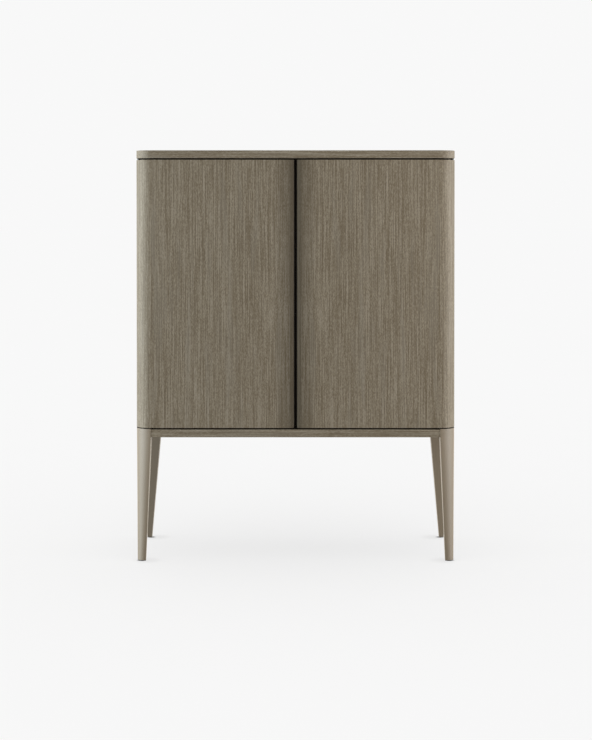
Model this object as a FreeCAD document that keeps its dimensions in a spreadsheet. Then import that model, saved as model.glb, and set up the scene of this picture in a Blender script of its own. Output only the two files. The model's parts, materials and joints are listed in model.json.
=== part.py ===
"""Bar cabinet on four tapered legs, with two wrap-round doors and a fold-out shelf.

The origin is on the floor under the middle of the cabinet: +X to the right, the doors face -Y, +Z up.
All lengths are millimetres. Every size is a cell of the sheet "size", and each piece is bound to it.
"""
import FreeCAD, Part
import math
import os

import Sketcher
from FreeCAD import Placement, Rotation, Vector

doc = FreeCAD.newDocument("bar_cabinet")

# ------------------------------------------------------------------ driving dimensions
SIZES = {
    # outside of the body
    "body_width": 1050, "body_depth": 450, "corner_radius": 50, "wall": 22, "board": 18,
    "slab": 25.6, "door_height": 880.2, "gap_above_door": 5.2, "gap_below_door": 4.5,
    "carcass_lap": 0.8, "spacer_inset": 19, "door_reveal": 3, "edge_ease": 1.2,
    # base frame
    "glide_height": 2, "glide_radius": 6, "leg_taper": 406, "rail_height": 26, "rail_wall": 22,
    "rail_setback": 1, "leg_rise": 2.5, "leg_clearance": 2, "leg_broad": 50, "leg_deep": 54,
    "leg_round": 52, "foot_broad": 28, "foot_deep": 15, "foot_round": 24, "inset_broad": 5,
    "inset_deep": 3.5, "glide_place": 0.42, "block_reach": 45, "block_drop": 2,
    # doors and their pivots
    "meeting_gap": 9.8, "meeting_round": 10, "seal_width": 2.9, "seal_depth": 11,
    "pivot_inset": 7, "pivot_setback": 61, "door_end": 7, "side_gap": 4, "back_return": 35,
    "back_joint": 0.3,
    "pivot_radius": 3, "pivot_clearance": 0.05, "collar_radius": 5.5, "collar_gap": 0.3,
    "bush_wall": 1.95, "bush_length": 15, "plate_width": 12, "plate_length": 44, "plate_wall": 3,
    "plate_lead": 6.2, "pin_end_gap": 1,
    # fold-out shelf and the boards round it
    "worktop_level": 800, "flap_line": 55, "flap_reach": 250, "flap_rest": 0.3, "flap_joint": 0.5,
    "flap_side_gap": 3, "flap_head_gap": 8, "leaf_width": 26, "leaf_wall": 1.5,
    "hinge_end": 20, "knuckle_radius": 3.2, "knuckle_gap": 0.6, "knuckle_clearance": 0.5,
    "knuckle_pairs": 8, "hinge_pin_radius": 1.5, "hinge_pin_clearance": 0.05,
    "pull_drop": 18, "pull_neck": 4, "pull_neck_length": 9, "pull_head": 8, "pull_head_length": 8,
    "catch_width": 34, "catch_depth": 16, "catch_height": 26, "catch_spread": 300,
    "catch_gap": 0.3, "strike_radius": 9, "strike_wall": 1.2, "magnet_radius": 5,
    "magnet_length": 12, "door_catch_offset": 60,
    # inside
    "rack_space": 95, "divider_wall": 18, "shelf_level": 600, "shelf_side_gap": 1,
    "shelf_setback": 8, "shelf_back_gap": 2, "peg_radius": 2.5, "peg_hole": 9, "peg_reach": 10,
    "peg_inset": 40, "peg_rows": 5, "peg_pitch": 32, "mirror_wall": 4, "mirror_margin": 30,
    "cradle_wall": 14, "cradle_height": 30, "cradle_notch": 18, "bottle_radius": 42,
    "bottle_count": 5, "cradle_front": 28, "cradle_spread": 190, "cradle_level": 600,
    "hanger_count": 4, "hanger_pitch": 92, "hanger_web": 8, "hanger_drop": 20, "hanger_flange": 62,
    "hanger_flange_wall": 4, "hanger_front": 18, "hanger_rear": 23,
    # racks on the doors
    "tray_start": 62, "tray_end": 63, "tray_depth": 85, "tray_wall": 3, "tray_back": 60,
    "tray_lip": 28, "low_tray_level": 472, "high_tray_level": 1088, "gallery_radius": 4,
    "gallery_rise": 88, "gallery_inset": 10, "gallery_bend": 16,
}

size = doc.addObject("Spreadsheet::Sheet", "size")
for row, (alias, number) in enumerate(SIZES.items(), start=1):
    size.set(f"A{row}", alias)
    size.set(f"B{row}", str(number))
    size.setAlias(f"B{row}", alias)
doc.recompute()


def value(text):
    """The number that an expression on the sheet has now."""
    return float(size.evalExpression(text))


# ------------------------------------------------------------------ places worked out from the sizes
SIDE = "(size.body_width / 2)"
FRONT = "(-size.body_depth / 2)"
REAR = "(size.body_depth / 2)"
INNER_SIDE = f"({SIDE} - size.wall)"
INNER_REAR = f"({REAR} - size.wall)"
DOOR_BACK = f"({FRONT} + size.wall)"
INNER_RADIUS = "(size.corner_radius - size.wall)"
BACK_EDGE = f"({SIDE} - size.corner_radius - size.back_return)"
FLAT_HALF = f"({SIDE} - size.corner_radius)"

RAIL_BOTTOM = "(size.glide_height + size.leg_taper)"
RAIL_TOP = f"({RAIL_BOTTOM} + size.rail_height)"
DOOR_BOTTOM = f"({RAIL_TOP} + size.gap_below_door)"
DOOR_TOP = f"({DOOR_BOTTOM} + size.door_height)"
SLAB_BOTTOM = f"({DOOR_TOP} + size.gap_above_door)"
CARCASS_BOTTOM = f"({DOOR_BOTTOM} - size.carcass_lap)"
CARCASS_TOP = f"({DOOR_TOP} + size.carcass_lap)"
FLOOR_LEVEL = f"({CARCASS_BOTTOM} + size.board)"
CEILING = f"({CARCASS_TOP} - size.board)"

PIVOT_X = f"({SIDE} - size.pivot_inset)"
PIVOT_Y = f"({FRONT} + size.pivot_setback)"
DOOR_END = f"({PIVOT_Y} + size.door_end)"
SIDE_FRONT = f"({DOOR_END} + size.side_gap)"
HALF_GAP = "(size.meeting_gap / 2)"
BOARD_FRONT = f"({DOOR_BACK} + size.door_reveal)"
SHELF_FRONT = f"({DOOR_BACK} + size.rack_space)"
LOOSE_SHELF_REAR = f"({INNER_REAR} - {INNER_RADIUS} - size.shelf_back_gap)"

DECK_TOP = "(size.worktop_level - size.board - size.flap_rest)"
DECK_BOTTOM = f"({DECK_TOP} - size.board)"
FLAP_TOP = "(size.worktop_level + size.flap_reach)"
UPPER_SHELF = f"({FLAP_TOP} + size.flap_head_gap)"
FLAP_FRONT = "(size.flap_line - size.board)"
FLAP_HALF = f"({INNER_SIDE} - size.flap_side_gap)"
HINGE_HALF = f"({FLAP_HALF} - size.hinge_end)"
KNUCKLE = f"({HINGE_HALF} / size.knuckle_pairs)"

TURNS = {
    "x": Rotation(Vector(0, 1, 0), 90),
    "y": Rotation(Vector(1, 0, 0), -90),
    "z": Rotation(),
}

nodes = []


# ------------------------------------------------------------------ helpers
def keep(item, name):
    """Makes an object a piece of the cabinet: its label is the piece's name."""
    item.Label = name
    nodes.append(item)
    return item


def place(item, x, y, z):
    for axis, text in (("x", x), ("y", y), ("z", z)):
        item.setExpression(f"Placement.Base.{axis}", str(text))


def box(name, x, y, z):
    """Block between three pairs of limits."""
    item = doc.addObject("Part::Box", name)
    for side, (low, high) in (("Length", x), ("Width", y), ("Height", z)):
        item.setExpression(side, f"({high}) - ({low})")
    place(item, x[0], y[0], z[0])
    return item


def rod(name, radius, length, at, along="z"):
    """Cylinder that starts at a point and runs along an axis."""
    item = doc.addObject("Part::Cylinder", name)
    item.setExpression("Radius", radius)
    item.setExpression("Height", length)
    item.Placement = Placement(Vector(), TURNS[along])
    place(item, *at)
    return item


def fuse(name, items):
    item = doc.addObject("Part::MultiFuse", name)
    item.Shapes = items
    return item


def group(name, items):
    item = doc.addObject("Part::Compound", name)
    item.Links = items
    return item


def cut(name, base, tools):
    item = doc.addObject("Part::Cut", name)
    item.Base = base
    item.Tool = tools[0] if len(tools) == 1 else group(f"{name}_tools", tools)
    return item


def new_body(name, z="0"):
    body = doc.addObject("PartDesign::Body", name)
    place(body, "0", "0", z)
    return body


def new_sketch(body, name, plane="XY_Plane", offset="0"):
    """Sketch on one of the body's own origin planes, moved along its normal."""
    sketch = body.newObject("Sketcher::SketchObject", name)
    support = next(f for f in body.Origin.OriginFeatures if f.Role == plane)
    sketch.AttachmentSupport = [(support, "")]
    sketch.MapMode = "FlatFace"
    sketch.setExpression("AttachmentOffset.Base.z", offset)
    return sketch


def dimension(sketch, kind, ends, text):
    """Adds a dimension and binds it to an expression."""
    index = sketch.addConstraint(Sketcher.Constraint(kind, *ends, value(text)))
    sketch.setExpression(f"Constraints[{index}]", text)


def draw_outline(sketch, points):
    """Closed outline of straight lines through points given as expressions."""
    corners = [Vector(value(x), value(y), 0) for x, y in points]
    count = len(corners)
    for i in range(count):
        sketch.addGeometry(Part.LineSegment(corners[i], corners[(i + 1) % count]), False)
    for i in range(count):
        sketch.addConstraint(Sketcher.Constraint("Coincident", i, 2, (i + 1) % count, 1))
    for i, (x, y) in enumerate(points):
        dimension(sketch, "DistanceX", (-1, 1, i, 1), x)
        dimension(sketch, "DistanceY", (-1, 1, i, 1), y)


def draw_circle(sketch, x, y, radius):
    centre = Vector(value(x), value(y), 0)
    index = sketch.addGeometry(Part.Circle(centre, Vector(0, 0, 1), value(radius)), False)
    dimension(sketch, "DistanceX", (-1, 1, index, 3), x)
    dimension(sketch, "DistanceY", (-1, 1, index, 3), y)
    dimension(sketch, "Radius", (index,), radius)


def pad(body, name, sketch, length):
    item = body.newObject("PartDesign::Pad", name)
    item.Profile = sketch
    item.setExpression("Length", length)
    return item


def drill(body, name, sketch, depth, backwards=False):
    """Blind hole from a sketch. The material it takes away is checked."""
    doc.recompute()
    before = body.Shape.Volume
    item = body.newObject("PartDesign::Pocket", name)
    item.Profile = sketch
    item.setExpression("Length", depth)
    item.Reversed = backwards
    doc.recompute()
    if body.Shape.Volume >= before:
        raise RuntimeError(f"{name} cuts nothing")
    return item


def round_edges(body, name, picks, radius):
    """Fillets the edges of the body's tip that a test picks."""
    doc.recompute()
    base = body.Tip
    names = [f"Edge{i}" for i, edge in enumerate(base.Shape.Edges, start=1) if picks(edge)]
    if not names:
        raise RuntimeError(f"{name} finds no edge")
    item = body.newObject("PartDesign::Fillet", name)
    item.Base = (base, names)
    item.setExpression("Radius", radius)
    return item


def upright_at(x, y):
    """Test for the upright edge of a body over a point."""
    spot = Vector(value(x), value(y), 0)

    def picks(edge):
        low, high = edge.Vertexes[0].Point, edge.Vertexes[-1].Point
        stands = abs(low.x - high.x) < 1e-6 and abs(low.y - high.y) < 1e-6
        return stands and abs(low.x - spot.x) < 1e-3 and abs(low.y - spot.y) < 1e-3

    return picks


def level_edges(edge):
    """Test for an edge that lies level, along a top or a bottom face."""
    return edge.BoundBox.ZLength < 1e-6


def shaped_board(name, points, z, length, rounds=(), eased=False):
    """Board of a straight-sided outline, with some of its corners rounded and its rims eased."""
    body = new_body(name, z)
    sketch = new_sketch(body, f"{name}_outline")
    draw_outline(sketch, points)
    pad(body, f"{name}_pad", sketch, length)
    for i, (corners, radius) in enumerate(rounds):
        tests = [upright_at(x, y) for x, y in corners]
        round_edges(body, f"{name}_corner_{i}", lambda edge: any(t(edge) for t in tests), radius)
    if eased:
        round_edges(body, f"{name}_rim", level_edges, "size.edge_ease")
    return body


def rectangle(x, y):
    return [(x[0], y[0]), (x[1], y[0]), (x[1], y[1]), (x[0], y[1])]


def minus(text):
    return f"(-{text})"


def mirrored(side, x):
    """The same place on the left or the right half of the cabinet."""
    return x if side > 0 else minus(x)


def span(side, low, high):
    """Limits across the cabinet, in rising order on either half."""
    return (low, high) if side > 0 else (minus(high), minus(low))


SIDES = {"left": -1, "right": 1}
QUARTERS = ((1, -1), (1, 1), (-1, 1), (-1, -1))


# ------------------------------------------------------------------ top, base frame and legs
def make_slab():
    """Top slab with rounded corners, and the dark spacer that it floats on."""
    outline = rectangle((minus(SIDE), SIDE), (FRONT, REAR))
    slab = shaped_board("top_panel", outline, SLAB_BOTTOM, "size.slab",
                        [(outline, "size.corner_radius")], eased=True)
    for side_name, side in SIDES.items():
        sketch = new_sketch(slab, f"top_plate_seat_{side_name}")
        draw_outline(sketch, rectangle(*plate_limits(side)))
        drill(slab, f"top_plate_pocket_{side_name}", sketch, "size.plate_wall", backwards=True)
    keep(slab, "top_panel")

    reach_x = f"({SIDE} - size.spacer_inset)"
    reach_y = f"({REAR} - size.spacer_inset)"
    outline = rectangle((minus(reach_x), reach_x), (minus(reach_y), reach_y))
    spacer = shaped_board("top_spacer", outline, CARCASS_TOP, f"{SLAB_BOTTOM} - {CARCASS_TOP}",
                          [(outline, "size.corner_radius - size.spacer_inset")])
    keep(spacer, "top_spacer")


def plate_limits(side):
    """Plan limits of a pivot plate, in x and in y."""
    half = "size.plate_width / 2"
    across = span(side, f"({PIVOT_X} - {half})", f"({PIVOT_X} + {half})")
    start = f"({PIVOT_Y} - size.plate_lead)"
    return across, (start, f"({start} + size.plate_length)")


def leg_corner(sx, sy, clearance="0"):
    """Inner corner of a leg's head, in the quarter that the two signs name.

    A leg's broad face looks at its neighbour across the front or the back for the front legs, and
    the legs behind are turned by a quarter, so there it looks along the side.
    """
    along_x, along_y = ("leg_broad", "leg_deep") if sy < 0 else ("leg_deep", "leg_broad")
    x = f"({SIDE} - size.{along_x} - {clearance})"
    y = f"({REAR} - size.{along_y} - {clearance})"
    return (x if sx > 0 else minus(x), y if sy > 0 else minus(y))


def make_rails():
    """Rails between the legs. The side rails hold the lower pivot plates, let in flush."""
    outer_x = f"({SIDE} - size.rail_setback)"
    outer_y = f"({REAR} - size.rail_setback)"
    inner_x = f"({outer_x} - size.rail_wall)"
    inner_y = f"({outer_y} - size.rail_wall)"

    for name, sy, limits in (("front_rail", -1, (minus(outer_y), minus(inner_y))),
                             ("rear_rail", 1, (inner_y, outer_y))):
        across = (leg_corner(-1, sy)[0], leg_corner(1, sy)[0])
        keep(shaped_board(name, rectangle(across, limits), RAIL_BOTTOM, "size.rail_height",
                          eased=True), name)
    for side_name, side in SIDES.items():
        name = f"{side_name}_rail"
        along = (leg_corner(side, -1)[1], leg_corner(side, 1)[1])
        rail = shaped_board(name, rectangle(span(side, inner_x, outer_x), along), RAIL_BOTTOM,
                            "size.rail_height", eased=True)
        sketch = new_sketch(rail, f"{name}_plate_seat", offset="size.rail_height")
        draw_outline(sketch, rectangle(*plate_limits(side)))
        drill(rail, f"{name}_plate_pocket", sketch, "size.plate_wall")
        keep(rail, name)

    blocks = []
    for i, (sx, sy) in enumerate(QUARTERS):
        x, y = leg_corner(sx, sy)
        rail_x, rail_y = (inner_x if sx > 0 else minus(inner_x), inner_y if sy > 0 else minus(inner_y))
        reach_x, reach_y = f"({x} - size.block_reach * {sx})", f"({y} - size.block_reach * {sy})"
        points = [(rail_x, reach_y), (rail_x, y), (x, y), (x, rail_y), (reach_x, rail_y)]
        blocks.append(shaped_board(f"corner_block_{i}", points, f"{RAIL_BOTTOM} + size.block_drop",
                                   "size.rail_height - size.block_drop"))
    keep(group("corner_blocks", blocks), "corner_blocks")


def draw_leg_section(sketch, corner_x, corner_y, length_x, length_y, radius):
    """Section of a leg: two straight sides at the inner corner, closed by an outer arc."""
    corner = Vector(value(corner_x), value(corner_y), 0)
    start = corner + Vector(value(length_x), 0, 0)
    end = corner + Vector(0, value(length_y), 0)
    middle = (start + end) / 2
    half_chord = (end - start) / 2
    rise = math.sqrt(value(radius) ** 2 - half_chord.Length ** 2)
    inward = Vector(-half_chord.y, half_chord.x, 0).normalize()
    centre = middle + inward * rise
    circle = Part.Circle(centre, Vector(0, 0, 1), value(radius))
    first = math.atan2(start.y - centre.y, start.x - centre.x)
    last = math.atan2(end.y - centre.y, end.x - centre.x)

    sketch.addGeometry(Part.LineSegment(corner, start), False)
    sketch.addGeometry(Part.ArcOfCircle(circle, first, last), False)
    sketch.addGeometry(Part.LineSegment(end, corner), False)
    for i in range(3):
        sketch.addConstraint(Sketcher.Constraint("Coincident", i, 2, (i + 1) % 3, 1))
    sketch.addConstraint(Sketcher.Constraint("Horizontal", 0))
    sketch.addConstraint(Sketcher.Constraint("Vertical", 2))
    dimension(sketch, "DistanceX", (-1, 1, 0, 1), corner_x)
    dimension(sketch, "DistanceY", (-1, 1, 0, 1), corner_y)
    dimension(sketch, "DistanceX", (0, 1, 0, 2), length_x)
    dimension(sketch, "DistanceY", (0, 1, 2, 1), length_y)
    dimension(sketch, "Radius", (1,), radius)


def make_legs():
    """Quarter-round legs: straight beside the rails, then tapered down to a small foot.

    A leg is drawn in the quarter where x and y are positive, from its inner corner, and turned
    into its own corner. The legs of one half are alike; the other half's are their mirror images.
    """
    glides = []
    for (sx, sy), turn in zip(QUARTERS, (-90, 0, 90, 180)):
        name = f"{'front' if sy < 0 else 'rear'}_{'right' if sx > 0 else 'left'}"
        order = ("deep", "broad") if sx > 0 else ("broad", "deep")
        head_x, head_y = (f"size.leg_{face}" for face in order)
        foot_x, foot_y = (f"size.foot_{face}" for face in order)
        inset_x, inset_y = (f"size.inset_{face}" for face in order)
        corner_x = f"({head_x} - {inset_x} - {foot_x})"
        corner_y = f"({head_y} - {inset_y} - {foot_y})"

        body = doc.addObject("PartDesign::Body", f"leg_{name}")
        body.Placement = Placement(Vector(), Rotation(Vector(0, 0, 1), turn))
        place(body, *leg_corner(sx, sy), "0")
        foot = new_sketch(body, f"{name}_foot", offset="size.glide_height")
        draw_leg_section(foot, corner_x, corner_y, foot_x, foot_y, "size.foot_round")
        head = new_sketch(body, f"{name}_head", offset=RAIL_BOTTOM)
        draw_leg_section(head, "0", "0", head_x, head_y, "size.leg_round")
        pad(body, f"{name}_block", head, "size.rail_height + size.leg_rise")
        taper = body.newObject("PartDesign::AdditiveLoft", f"{name}_taper")
        taper.Profile = foot
        taper.Sections = [head]
        taper.Ruled = True
        keep(body, f"leg_{name}")

        out = (f"({corner_x} + {foot_x} * size.glide_place)",
               f"({corner_y} + {foot_y} * size.glide_place)")
        out_x, out_y = out if sx == sy else (out[1], out[0])
        x, y = leg_corner(sx, sy)
        glides.append(rod(f"glide_{name}", "size.glide_radius", "size.glide_height",
                          (f"{x} + {sx} * {out_x}", f"{y} + {sy} * {out_y}", "0")))
    keep(group("foot_glides", glides), "foot_glides")


# ------------------------------------------------------------------ carcass
def make_carcass():
    """Dark base spacer, bottom and top boards, rounded side panels and the back."""
    reach_x = f"({SIDE} - size.spacer_inset)"
    reach_y = f"({REAR} - size.spacer_inset)"
    points = []
    for sx, sy in QUARTERS:
        x, y = leg_corner(sx, sy, "size.leg_clearance")
        edge_x, edge_y = (reach_x if sx > 0 else minus(reach_x), reach_y if sy > 0 else minus(reach_y))
        notch = [(x, edge_y), (x, y), (edge_x, y)]
        points += notch if sx == -sy else notch[::-1]
    keep(shaped_board("base_spacer", points, RAIL_TOP, f"{CARCASS_BOTTOM} - {RAIL_TOP}"),
         "base_spacer")

    near_x = f"({INNER_SIDE} - size.door_reveal)"
    front_corners = [(minus(near_x), BOARD_FRONT), (near_x, BOARD_FRONT)]
    rear_corners = [(INNER_SIDE, INNER_REAR), (minus(INNER_SIDE), INNER_REAR)]
    points = front_corners + [(near_x, SIDE_FRONT), (INNER_SIDE, SIDE_FRONT)] + rear_corners
    points += [(minus(INNER_SIDE), SIDE_FRONT), (minus(near_x), SIDE_FRONT)]
    rounds = [(front_corners, f"{INNER_RADIUS} - size.door_reveal"), (rear_corners, INNER_RADIUS)]
    bottom = shaped_board("carcass_bottom", points, CARCASS_BOTTOM, "size.board", rounds)
    keep(bottom, "carcass_bottom")
    top = shaped_board("carcass_top", points, CEILING, "size.board", rounds)
    for side_name, side in SIDES.items():
        seat = new_sketch(top, f"magnet_seat_{side_name}", "XZ_Plane", minus(BOARD_FRONT))
        draw_circle(seat, mirrored(side, "size.door_catch_offset"), "size.board / 2",
                    "size.magnet_radius")
        drill(top, f"magnet_hole_{side_name}", seat,
              "size.magnet_length - size.door_reveal + size.catch_gap")
    keep(top, "carcass_top")

    for side_name, side in SIDES.items():
        name = f"side_panel_{side_name}"
        outer, inner = mirrored(side, SIDE), mirrored(side, INNER_SIDE)
        edge = mirrored(side, BACK_EDGE)
        points = [(outer, SIDE_FRONT), (outer, REAR), (edge, REAR), (edge, INNER_REAR),
                  (inner, INNER_REAR), (inner, SIDE_FRONT)]
        rounds = [([(outer, REAR)], "size.corner_radius"), ([(inner, INNER_REAR)], INNER_RADIUS)]
        panel = shaped_board(name, points, DOOR_BOTTOM, "size.door_height", rounds, eased=True)
        if side < 0:
            drill_peg_rows(panel, name, minus(INNER_SIDE), DOOR_BOTTOM)
        keep(panel, name)

    across = f"({BACK_EDGE} - size.back_joint)"
    keep(shaped_board("back_panel", rectangle((minus(across), across), (INNER_REAR, REAR)),
                      DOOR_BOTTOM, "size.door_height", eased=True), "back_panel")


def peg_places():
    """The pegs' two places from front to back."""
    return (f"({SHELF_FRONT} + size.shelf_setback + size.peg_inset)",
            f"({LOOSE_SHELF_REAR} - size.peg_inset)")


def drill_peg_rows(body, name, face_x, body_level, backwards=False):
    """Two upright rows of peg holes, the middle one under the adjustable shelf."""
    lowest = (f"(size.shelf_level - size.peg_radius - {body_level}"
              " - size.peg_pitch * (size.peg_rows - 1) / 2)")
    sketch = new_sketch(body, f"{name}_pegs", "YZ_Plane", face_x)
    for y in peg_places():
        draw_circle(sketch, y, lowest, "size.peg_radius")
    hole = drill(body, f"{name}_peg_holes", sketch, "size.peg_hole", backwards)
    rows = body.newObject("PartDesign::LinearPattern", f"{name}_peg_rows")
    rows.Originals = [hole]
    rows.Direction = (next(f for f in body.Origin.OriginFeatures if f.Role == "Z_Axis"), [""])
    rows.setExpression("Length", "size.peg_pitch * (size.peg_rows - 1)")
    rows.setExpression("Occurrences", "size.peg_rows")
    body.Tip = rows


# ------------------------------------------------------------------ inside the carcass
def fitted_board(name, front, z, length, front_x=INNER_SIDE):
    """Fixed board from wall to wall, rounded where it meets the side panels' rear corners."""
    rear = [(front_x, INNER_REAR), (minus(front_x), INNER_REAR)]
    points = [(minus(front_x), front), (front_x, front)] + rear
    return shaped_board(name, points, z, length, [(rear, INNER_RADIUS)])


def make_shelves():
    """Deck that the fold-out shelf lies on, upper shelf, divider and adjustable shelf."""
    keep(fitted_board("deck", SIDE_FRONT, DECK_BOTTOM, "size.board"), "deck")
    keep(fitted_board("upper_shelf", SHELF_FRONT, UPPER_SHELF, "size.board"), "upper_shelf")

    half = "(size.divider_wall / 2)"
    divider = shaped_board("divider", rectangle((minus(half), half), (SHELF_FRONT, INNER_REAR)),
                           FLOOR_LEVEL, f"{DECK_BOTTOM} - {FLOOR_LEVEL}")
    drill_peg_rows(divider, "divider", minus(half), FLOOR_LEVEL, backwards=True)
    keep(divider, "divider")

    across = (f"(-{INNER_SIDE} + size.shelf_side_gap)", f"(-{half} - size.shelf_side_gap)")
    along = (f"({SHELF_FRONT} + size.shelf_setback)", LOOSE_SHELF_REAR)
    keep(shaped_board("adjustable_shelf", rectangle(across, along), "size.shelf_level",
                      "size.board"), "adjustable_shelf")

    pegs = []
    peg_length = "size.peg_hole + size.peg_reach"
    starts = (f"(-{INNER_SIDE} - size.peg_hole)", f"(-{half} - size.peg_reach)")
    for i, x in enumerate(starts):
        for j, y in enumerate(peg_places()):
            pegs.append(rod(f"peg_{i}_{j}", "size.peg_radius", peg_length,
                            (x, y, "size.shelf_level - size.peg_radius"), "x"))
    keep(group("shelf_pegs", pegs), "shelf_pegs")


def make_mirror():
    """Mirror on the back of the niche behind the fold-out shelf."""
    across = f"({FLAT_HALF} - size.mirror_margin)"
    keep(box("niche_mirror", (minus(across), across),
             (f"{INNER_REAR} - size.mirror_wall", INNER_REAR),
             ("size.worktop_level", UPPER_SHELF)), "niche_mirror")


def make_bottle_cradles():
    """Scalloped rails for bottles that lie front to back, two levels in the right bay."""
    start = "(size.divider_wall / 2)"
    pitch = f"(({INNER_SIDE} - {start}) / size.bottle_count)"
    front = f"({SHELF_FRONT} + size.cradle_front)"
    levels = {"low": FLOOR_LEVEL, "high": "size.cradle_level"}
    places = {"front": front, "rear": f"({front} + size.cradle_spread)"}
    for level_name, level in levels.items():
        for place_name, y in places.items():
            name = f"bottle_cradle_{level_name}_{place_name}"
            top = f"({level} + size.cradle_height)"
            blank = box(f"{name}_blank", (start, INNER_SIDE), (y, f"{y} + size.cradle_wall"),
                        (level, top))
            notches = [
                rod(f"{name}_notch_{i}", "size.bottle_radius", "size.cradle_wall * 3",
                    (f"{start} + {pitch} * {i + 0.5}", f"{y} - size.cradle_wall",
                     f"{top} + size.bottle_radius - size.cradle_notch"), "y")
                for i in range(round(value("size.bottle_count")))
            ]
            keep(cut(name, blank, notches), name)


def make_stemware_rails():
    """T-shaped rails under the ceiling that stemmed glasses hang from."""
    start = f"({SHELF_FRONT} + size.hanger_front)"
    along = (start, f"({INNER_REAR} - size.hanger_rear)")
    web_bottom = f"({CEILING} - size.hanger_drop)"
    for i in range(round(value("size.hanger_count"))):
        name = f"stemware_rail_{i + 1}"
        middle = f"(size.hanger_pitch * ({i} - (size.hanger_count - 1) / 2))"
        web = box(f"{name}_web", (f"{middle} - size.hanger_web / 2",
                                  f"{middle} + size.hanger_web / 2"), along, (web_bottom, CEILING))
        flange = box(f"{name}_flange", (f"{middle} - size.hanger_flange / 2",
                                        f"{middle} + size.hanger_flange / 2"), along,
                     (f"{web_bottom} - size.hanger_flange_wall", web_bottom))
        keep(fuse(name, [web, flange]), name)


# ------------------------------------------------------------------ fold-out shelf
def hinge_axis(offset_y="0", offset_z="0"):
    return f"(size.flap_line + {offset_y})", f"(size.worktop_level + {offset_z})"


def make_worktop():
    """Worktop on the deck behind the hinge, let in for the hinge's fixed leaf."""
    front = "(size.flap_line + size.flap_joint)"
    blank = fitted_board("worktop_blank", front, DECK_TOP, f"size.worktop_level - {DECK_TOP}")
    axis_y, axis_z = hinge_axis()
    rebate = box("worktop_rebate", (minus(HINGE_HALF), HINGE_HALF),
                 (axis_y, f"{axis_y} + size.leaf_width"),
                 (f"{axis_z} - size.leaf_wall", f"{axis_z} + size.leaf_wall"))
    channel = rod("worktop_channel", "size.knuckle_radius + size.knuckle_clearance",
                  f"{HINGE_HALF} * 2", (minus(HINGE_HALF), axis_y, axis_z), "x")
    keep(cut("worktop", blank, [rebate, channel]), "worktop")


def make_flap():
    """Fold-out shelf, drawn closed: it stands on the hinge line and folds down to the front."""
    low = "(size.worktop_level + size.flap_joint)"
    blank = new_body("flap_blank")
    sketch = new_sketch(blank, "flap_outline", "XZ_Plane", minus("size.flap_line"))
    draw_outline(sketch, rectangle((minus(FLAP_HALF), FLAP_HALF), (low, FLAP_TOP)))
    pad(blank, "flap_pad", sketch, "size.board")
    top = value(FLAP_TOP)
    round_edges(blank, "flap_corners",
                lambda edge: edge.BoundBox.YLength > 1 and abs(edge.BoundBox.ZMin - top) < 1e-3,
                f"{INNER_RADIUS} - size.flap_side_gap")
    axis_y, axis_z = hinge_axis()
    rebate = box("flap_rebate", (minus(HINGE_HALF), HINGE_HALF),
                 (f"{axis_y} - size.leaf_wall", f"{axis_y} + size.leaf_wall"),
                 (axis_z, f"{axis_z} + size.leaf_width"))
    channel = rod("flap_channel", "size.knuckle_radius + size.knuckle_clearance",
                  f"{HINGE_HALF} * 2", (minus(HINGE_HALF), axis_y, axis_z), "x")
    seats = [rod(f"flap_strike_seat_{i}", "size.strike_radius", "size.strike_wall * 2",
                 (x, "size.flap_line - size.strike_wall", catch_level()), "y")
             for i, x in enumerate(catch_places())]
    keep(cut("fold_out_shelf", blank, [rebate, channel] + seats), "fold_out_shelf")

    strikes = [rod(f"flap_strike_{i}", "size.strike_radius", "size.strike_wall",
                   (x, "size.flap_line - size.strike_wall", catch_level()), "y")
               for i, x in enumerate(catch_places())]
    keep(group("flap_strike_plates", strikes), "flap_strike_plates")

    half_width = "size.catch_width / 2"
    face = "(size.flap_line + size.catch_gap)"
    catches = [box(f"flap_catch_{i}", (f"{x} - {half_width}", f"{x} + {half_width}"),
                   (face, f"{face} + size.catch_depth"),
                   (f"{UPPER_SHELF} - size.catch_height", UPPER_SHELF))
               for i, x in enumerate(catch_places())]
    keep(group("flap_catches", catches), "flap_catches")

    pull = doc.addObject("PartDesign::Body", "flap_pull")
    place(pull, "0", FLAP_FRONT, f"{FLAP_TOP} - size.pull_drop")
    neck = new_sketch(pull, "flap_pull_neck_section", "XZ_Plane")
    draw_circle(neck, "0", "0", "size.pull_neck")
    pad(pull, "flap_pull_neck", neck, "size.pull_neck_length + size.pull_head_length")
    head = new_sketch(pull, "flap_pull_head_section", "XZ_Plane", "size.pull_neck_length")
    draw_circle(head, "0", "0", "size.pull_head")
    pad(pull, "flap_pull_head", head, "size.pull_head_length")
    rim = value("size.pull_head") - 1e-3
    round_edges(pull, "flap_pull_rim", lambda edge: edge.BoundBox.XLength > 2 * rim,
                "size.edge_ease")
    keep(pull, "flap_pull")


def catch_places():
    return "(-size.catch_spread)", "(size.catch_spread)"


def catch_level():
    """Height of the strike plates: the middle of the part of a catch that the flap covers."""
    return f"(({UPPER_SHELF} - size.catch_height + {FLAP_TOP}) / 2)"


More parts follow.
